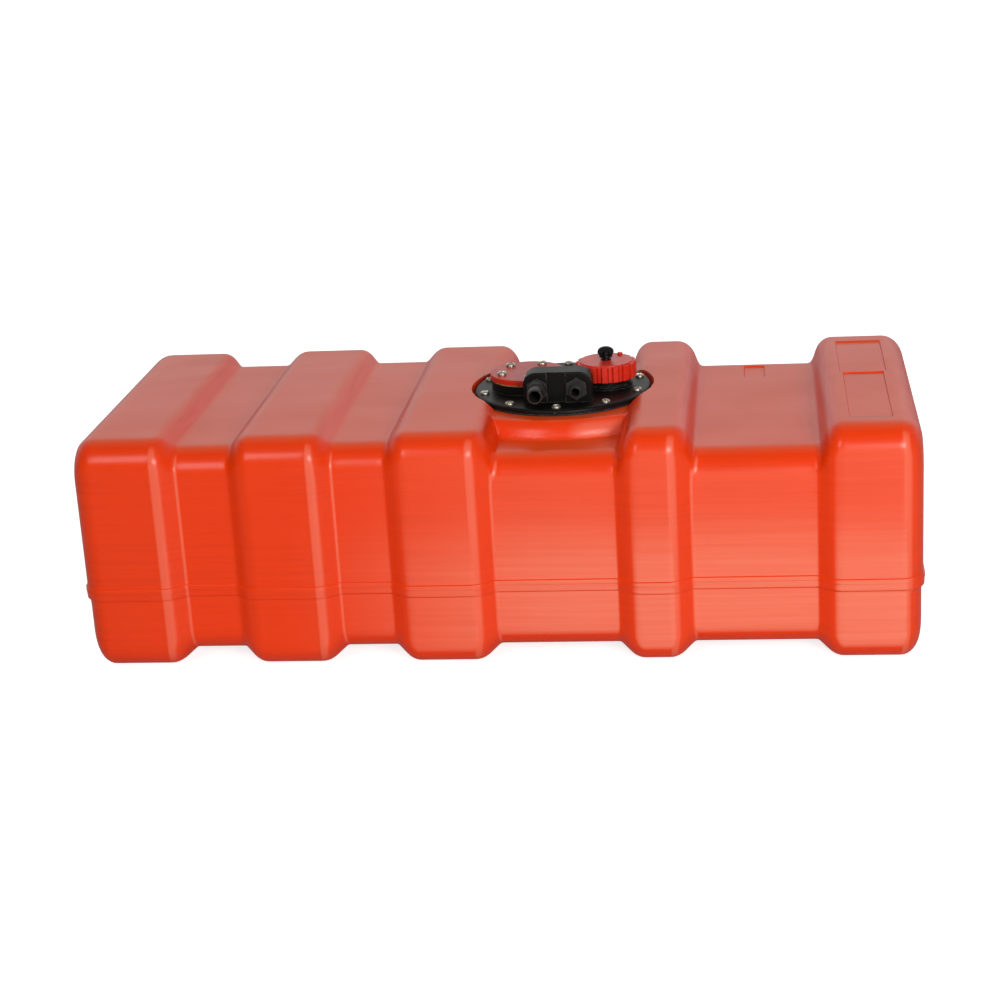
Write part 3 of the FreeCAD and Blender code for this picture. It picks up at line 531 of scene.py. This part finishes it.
def topSurface(x, y, skin):
    # height of the top at (x, y): channels, the neck land, the flange's well and the label recesses
    base = tank["height"] - skin - insetsAt(x.ravel(), skin)[1].reshape(x.shape)
    out = np.hypot(x - neck["x"], y)
    if skin > 0.0:
        inside = smoothStep((out - neck["ringRadius"]) / 2.0)
        return np.minimum(base, neck["ringZ"] + (base - neck["ringZ"]) * inside)
    bow = neck["landHalf"] - neck["landCorner"]
    radius = (neck["landReach"] ** 2 + bow ** 2) / (2 * bow)
    edge = neck["landHalf"] - radius + np.sqrt(radius ** 2 - np.clip(x - neck["x"], -radius, radius) ** 2)
    # the land's front and back round over: a crisp upper edge, then a quarter of an ellipse
    past = np.clip((np.abs(y) - edge) / neck["landDraft"], 0.0, None)
    drop = (neck["landZ"] - tank["height"] + tank["deepTop"])
    fall = 0.3 * past + 0.7 * (1 - np.sqrt(1 - np.clip(past, 0.0, 1.0) ** 2))
    land = neck["landZ"] - drop * fall - drop * np.clip(past - 1.0, 0.0, None)
    land = np.where(np.abs(x - neck["x"]) < neck["patchX"], land, 0.0)
    k = neck["blend"]
    height = np.maximum(base, land) + np.maximum(k - np.abs(base - land), 0.0) ** 2 / (4 * k)
    height = np.minimum(height, tank["height"])
    well = smoothStep((out - neck["wellRadius"] + neck["wellEase"]) / (2 * neck["wellEase"]))
    height = neck["landZ"] + (height - neck["landZ"]) * np.where(height > neck["landZ"], well, 1.0)
    height = np.where(out < neck["wellRadius"] - neck["wellEase"], neck["landZ"], height)
    for across, along in label["fields"]:
        inX = (smoothStep((x - across[0]) / label["ease"] + 0.5)
               * smoothStep((across[1] - x) / label["ease"] + 0.5))
        inY = (smoothStep((y - along[0]) / label["ease"] + 0.5)
               * smoothStep((along[1] - y) / label["ease"] + 0.5))
        height = height - label["depth"] * inX * inY
    return height


def tankSkin(skin, wallCells, flatStep, endCells, topStep, cornerCells, sideCells, patchRows):
    # sections along x round the tank, a polar patch round the flange, and two end faces
    x = stations(skin, wallCells, flatStep, endCells)
    half = tank["length"] / 2 - skin
    radius = tank["endEdge"] - skin
    corner = tank["longEdge"] - skin
    side, top = insetsAt(x, skin)
    turned = np.clip((np.abs(x) - half + radius) / radius, 0.0, 1.0)
    endInset = radius * (1 - np.sqrt(1 - turned ** 2))
    outX = np.sign(x) * turned
    outY = np.sqrt(1 - turned ** 2)
    halfWidth = tank["width"] / 2 - skin - side - endInset
    low = skin + side + endInset
    high = tank["height"] - skin - top - endInset
    inner, shares = topLevels(skin, topStep)
    reach = (halfWidth - corner)[:, None]
    outerPart = neck["patchY"] + shares[None, :] * (reach - neck["patchY"])
    yTop = np.concatenate([-outerPart[:, ::-1], np.tile(inner, (len(x), 1)), outerPart], axis=1)
    xTop = np.tile(x[:, None], (1, yTop.shape[1]))
    zTop = topSurface(xTop, yTop, skin) - endInset[:, None]
    band, steps = sideLevels(skin, sideCells)
    above = (high - corner)[:, None] + steps[None, :] * (band[0] - (high - corner)[:, None])
    below = band[-1] + steps[None, :] * ((low + corner)[:, None] - band[-1])
    zSide = np.concatenate([above[:, :-1], np.tile(band, (len(x), 1)), below[:, 1:]], axis=1)
    proud = bandHeight(zSide) if skin == 0.0 else np.zeros_like(zSide)
    ySide = halfWidth[:, None] + proud * outY[:, None]
    xSide = x[:, None] + proud * outX[:, None]
    bend = np.linspace(0.0, np.pi / 2, cornerCells + 1)[1:-1]
    xBend = np.tile(x[:, None], (1, len(bend)))
    yBend = reach + corner * np.sin(bend)[None, :]
    zUp = (high - corner)[:, None] + corner * np.cos(bend)[None, :]
    zDown = (low + corner)[:, None] - corner * np.cos(bend)[None, :]
    zBottom = np.tile(low[:, None], (1, yTop.shape[1]))
    blocks = [(xTop, yTop, zTop), (xBend, yBend, zUp), (xSide, ySide, zSide),
              (xBend, yBend[:, ::-1], zDown[:, ::-1]), (xTop, yTop[:, ::-1], zBottom),
              (xBend, -yBend, zDown), (xSide[:, ::-1], -ySide[:, ::-1], zSide[:, ::-1]),
              (xBend, -yBend[:, ::-1], zUp[:, ::-1])]
    points = np.stack([np.concatenate([b[k] for b in blocks], axis=1) for k in range(3)], axis=-1)
    # below the band the two ends stand a little further in
    lower = smoothStep((tank["bandLow"] + 0.5 - points[..., 2]) / 1.5) * outX[:, None]
    points[..., 0] -= tank["lowerStep"] * lower
    rows, columns = points.shape[:2]
    faces = gridFaces(rows, columns, closed=True).reshape(rows - 1, columns, 4)
    firstRow = int(np.searchsorted(x, neck["x"] - neck["patchX"] - 1e-3))
    lastRow = int(np.searchsorted(x, neck["x"] + neck["patchX"] - 1e-3))
    firstColumn = len(shares)
    lastColumn = firstColumn + len(inner) - 1
    keep = np.ones((rows - 1, columns), bool)
    keep[firstRow:lastRow, firstColumn:lastColumn] = False
    parts = [(points, faces[keep])]
    patch = points[firstRow:lastRow + 1, firstColumn:lastColumn + 1]
    parts.append(polarPatch(patch, skin, patchRows))
    topCount = yTop.shape[1]
    share = (yTop[0] + reach[0]) / (2 * reach[0])
    parts += [endFace(points[0], topCount, share), endFace(points[-1], topCount, share)]
    return parts


def polarPatch(patch, skin, patchRows):
    # rings round the flange's opening that run out to the square edge of the patch
    loop = np.concatenate([patch[0, :-1], patch[:-1, -1], patch[-1, :0:-1], patch[:0:-1, 0]])
    turn = np.arctan2(loop[:, 1], loop[:, 0] - neck["x"])
    ease = neck["wellEase"]
    if skin == 0.0:
        radii = np.concatenate([[neck["opening"], 71.0, 76.0, 82.0, 87.0],
                                neck["wellRadius"] + ease * np.array([-1.5, -1.0, -0.7, -0.4, -0.15, 0.15,
                                                                      0.4, 0.7, 1.0, 1.6])])
    else:
        radii = np.array([neck["opening"], 85.0, neck["ringRadius"], neck["ringRadius"] + 1.0,
                          neck["ringRadius"] + 2.0])
    ringX = neck["x"] + radii[:, None] * np.cos(turn)[None, :]
    ringY = radii[:, None] * np.sin(turn)[None, :]
    steps = np.linspace(0.0, 1.0, patchRows + 1)[1:, None]
    outX = ringX[-1] + steps * (loop[None, :, 0] - ringX[-1])
    outY = ringY[-1] + steps * (loop[None, :, 1] - ringY[-1])
    x = np.concatenate([ringX, outX])
    y = np.concatenate([ringY, outY])
    z = topSurface(x, y, skin)
    z[-1] = loop[:, 2]
    rings = np.stack([x, y, z], axis=-1)
    if skin == 0.0:
        drop = rings[:1].copy()
        mouth = topSurface(drop[..., 0], drop[..., 1], tank["wall"])
        levels = []
        for share in (1.0, 0.5, 0.08):
            level = drop.copy()
            level[..., 2] = neck["landZ"] + (mouth - neck["landZ"]) * share
            levels.append(level)
        rings = np.concatenate(levels + [rings])
    rows, columns = rings.shape[:2]
    return rings, gridFaces(rows, columns, closed=True)


def endFace(ring, topCount, share):
    # a flat end: each row runs straight from the ring's one side to the other, the band carried across
    count = len(ring)
    right = ring[topCount - 1:count // 2 + 1]
    left = np.concatenate([ring[:1], ring[:count - (count // 2 - topCount + 1) - 1:-1]])
    rows = min(len(left), len(right))
    right, left = right[:rows], left[:rows]
    face = left[:, None, :] + (right - left)[:, None, :] * share[None, :, None]
    return face, gridFaces(rows, topCount)


outside = tankSkin(0.0, 16, 6.0, 10, 3.0, 10, 8, 26)
inside = tankSkin(tank["wall"], 6, 30.0, 4, 8.0, 4, 2, 8)
makePiece("tank_body", outside, tankPlastic, "tank", ["tank_shell"], sharp=50.0)
makePiece("tank_inside", inside, tankPlastic, "tank", sharp=50.0)


flangeScrews = dict(x=58.0, circle=158.0, count=10, first=18.0, shank=5.0, head=9.0, height=2.9,
                    seat=228.5, tip=212.0, recess=(1.9, 3.0, 1.5))
coverScrews = dict(x=23.6, circle=54.0, count=5, first=62.0, shank=4.8, head=9.6, height=3.6,
                   seat=244.0, tip=232.0, recess=(1.8, 2.8, 1.6))
crossTurns = (12.0, 57.0, 81.0, 33.0, 70.0, 5.0, 48.0, 24.0, 63.0, 39.0)


def panScrew(x, y, screw, turn):
    # a flat dome with a tapered cross recess, its side and seat, and the shank down to the tip
    radius = screw["head"] / 2
    width, reach, depth = screw["recess"]
    angle = np.linspace(0.0, 2 * np.pi, 72, endpoint=False)
    r = radius * np.linspace(0.0, 1.0, 26) ** 0.85
    dome = screw["height"] * (0.3 + 0.7 * np.sqrt(np.clip(1 - (r / radius) ** 3.2, 0.0, 1.0)))
    u = r[:, None] * np.cos(angle - np.radians(turn))
    v = r[:, None] * np.sin(angle - np.radians(turn))
    inside = np.minimum(np.maximum(np.abs(u) - width / 2, np.abs(v) - reach),
                        np.maximum(np.abs(v) - width / 2, np.abs(u) - reach))
    z = screw["seat"] + dome[:, None] - depth * smoothStep(-inside / 0.45)
    below = [(radius, 0.12), (radius, 0.0), (screw["shank"] / 2, 0.0)]
    levels = [(radius, screw["seat"] + share * screw["height"]) for radius, share in below]
    levels += [(screw["shank"] / 2, screw["tip"] + 0.6), (screw["shank"] / 2 - 0.6, screw["tip"]),
               (0.0, screw["tip"])]
    rows = np.concatenate([r, [level[0] for level in levels]])
    heights = np.concatenate([z, [np.full(len(angle), level[1]) for level in levels]])
    grid = np.stack([x + rows[:, None] * np.cos(angle), y + rows[:, None] * np.sin(angle), heights], axis=-1)
    return grid, gridFaces(len(rows), len(angle), closed=True)


def screwSet(name, node, screws):
    # the screws of one bolt circle, each with its cross turned its own way
    parts = []
    for k in range(screws["count"]):
        turn = np.radians(screws["first"] + 360.0 * k / screws["count"])
        parts.append(panScrew(screws["x"] + screws["circle"] / 2 * np.cos(turn),
                              screws["circle"] / 2 * np.sin(turn), screws, crossTurns[k]))
    makePiece(name, parts, stainless, "tank", [node], sharp=40.0, weld=0.002)


screwSet("flange_pan_screws", "flange_screws", flangeScrews)
screwSet("cover_pan_screws", "sender_cover_screws", coverScrews)


softboxes = dict(
    front_softbox=dict(place=(1.0, -2.08, 0.92), target=(0.15, 0.0, 0.1), size=(0.7, 0.6), power=30.5),
    upper_left_softbox=dict(place=(-1.15, -2.75, 1.9), target=(0.0, 0.0, 0.1), size=(0.8, 1.3), power=26.0),
    back_panel=dict(place=(0.0, 3.0, 1.45), target=(0.0, 0.0, 0.2), size=(5.0, 1.7), power=6.9))


def placed(name, data, right, up, back, place):
    # a light or camera whose own axes are right, up and back
    holder = bpy.data.objects.new(name, data)
    bpy.context.collection.objects.link(holder)
    turn = np.eye(4)
    turn[:3, 0], turn[:3, 1], turn[:3, 2], turn[:3, 3] = right, up, back, place
    holder.matrix_world = Matrix(turn.tolist())
    return holder


def addSoftbox(name, place, target, size, power):
    # a rectangle of light that faces its target and stands level
    lamp = bpy.data.lights.new(name, "AREA")
    lamp.shape = "RECTANGLE"
    lamp.size, lamp.size_y = size
    lamp.energy = power
    back = np.array(place) - np.array(target)
    back /= np.linalg.norm(back)
    right = np.cross((0.0, 0.0, 1.0), back)
    right /= np.linalg.norm(right)
    placed(name, lamp, right, np.cross(back, right), back, place)


for name, softbox in softboxes.items():
    addSoftbox(name, **softbox)

studio = dict(floorColour="#D6D6D4", nearGlow=0.80, farGlow=1.0, nearRadius=0.9, farRadius=2.2,
              ambient=0.25, glossFront=0.03, glossBack=0.8)


def paleFloor():
    # satin paper floor that shows white to the camera and keeps a light shadow
    material, tree, shader = newMaterial("paper_floor")
    shader.inputs["Base Color"].default_value = linear(studio["floorColour"])
    shader.inputs["Roughness"].default_value = 0.32
    rays = addNode(tree, "ShaderNodeLightPath")
    place = addNode(tree, "ShaderNodeTexCoord").outputs["Object"]
    out = addNode(tree, "ShaderNodeVectorMath", {0: place}, operation="LENGTH")
    level = addNode(tree, "ShaderNodeMapRange", {"Value": out.outputs["Value"],
                                                 "From Min": studio["nearRadius"],
                                                 "From Max": studio["farRadius"],
                                                 "To Min": studio["nearGlow"], "To Max": studio["farGlow"]},
                    interpolation_type="SMOOTHSTEP")
    seen = addNode(tree, "ShaderNodeMath", {0: rays.outputs["Is Camera Ray"], 1: level.outputs[0]},
                   operation="MULTIPLY")
    glow = addNode(tree, "ShaderNodeEmission", {"Color": (1.0, 1.0, 1.0, 1.0), "Strength": seen.outputs[0]})
    mixed = addNode(tree, "ShaderNodeAddShader", {0: shader.outputs[0], 1: glow.outputs[0]})
    tree.links.new(mixed.outputs[0], tree.nodes["Material Output"].inputs["Surface"])
    return material


floorMesh = bpy.data.meshes.new("floor")
floorMesh.from_pydata([(-9.0, -9.0, 0.0), (9.0, -9.0, 0.0), (9.0, 9.0, 0.0), (-9.0, 9.0, 0.0)], [],
                      [(0, 1, 2, 3)])
floorMesh.materials.append(paleFloor())
floor = bpy.data.objects.new("floor", floorMesh)
bpy.context.collection.objects.link(floor)


def studioSky():
    # white to the camera; for gloss rays bright behind the object and dark in front; dim for the rest
    world = bpy.data.worlds.new("studio")
    bpy.context.scene.world = world
    world.use_nodes = True
    tree = world.node_tree
    tree.nodes.clear()
    rays = addNode(tree, "ShaderNodeLightPath")
    direction = addNode(tree, "ShaderNodeTexCoord")
    split = addNode(tree, "ShaderNodeSeparateXYZ", {0: direction.outputs["Generated"]})
    behind = addNode(tree, "ShaderNodeMapRange", {"Value": split.outputs["Y"], "From Min": -0.2,
                                                  "From Max": 0.6, "To Min": studio["glossFront"],
                                                  "To Max": studio["glossBack"]})
    forGloss = addNode(tree, "ShaderNodeMix", {"Factor": rays.outputs["Is Glossy Ray"],
                                               2: studio["ambient"], 3: behind.outputs[0]},
                       data_type="FLOAT")
    clear = addNode(tree, "ShaderNodeMath", {0: rays.outputs["Is Camera Ray"],
                                             1: rays.outputs["Is Transmission Ray"]},
                    operation="MAXIMUM")
    strength = addNode(tree, "ShaderNodeMix", {"Factor": clear.outputs[0], 2: forGloss.outputs[0],
                                               3: 1.0}, data_type="FLOAT")
    background = addNode(tree, "ShaderNodeBackground", {"Color": (1.0, 1.0, 1.0, 1.0),
                                                        "Strength": strength.outputs[0]})
    addNode(tree, "ShaderNodeOutputWorld", {"Surface": background.outputs[0]})


studioSky()

view = dict(place=(0.250917, -2.093132, 0.820950), yaw=7.148, pitch=18.647, roll=3.412, lens=78.988)


def placeCamera():
    # turned by yaw from straight ahead, then down by pitch, then rolled about the line of sight
    yaw, pitch, roll = (np.radians(view[k]) for k in ("yaw", "pitch", "roll"))
    ahead = np.array([-np.sin(yaw), np.cos(yaw), 0.0])
    right = np.array([np.cos(yaw), np.sin(yaw), 0.0])
    up = np.array([0.0, 0.0, 1.0])
    look = ahead * np.cos(pitch) - up * np.sin(pitch)
    down = -(up * np.cos(pitch) + ahead * np.sin(pitch))
    rolledRight = right * np.cos(roll) + down * np.sin(roll)
    rolledDown = -right * np.sin(roll) + down * np.cos(roll)
    lens = bpy.data.cameras.new("camera")
    lens.sensor_width = 36.0
    lens.lens = view["lens"]
    bpy.context.scene.camera = placed("camera", lens, rolledRight, -rolledDown, -look, view["place"])


placeCamera()
bpy.context.scene.view_settings.view_transform = "Standard"
print("stage, light and camera set")
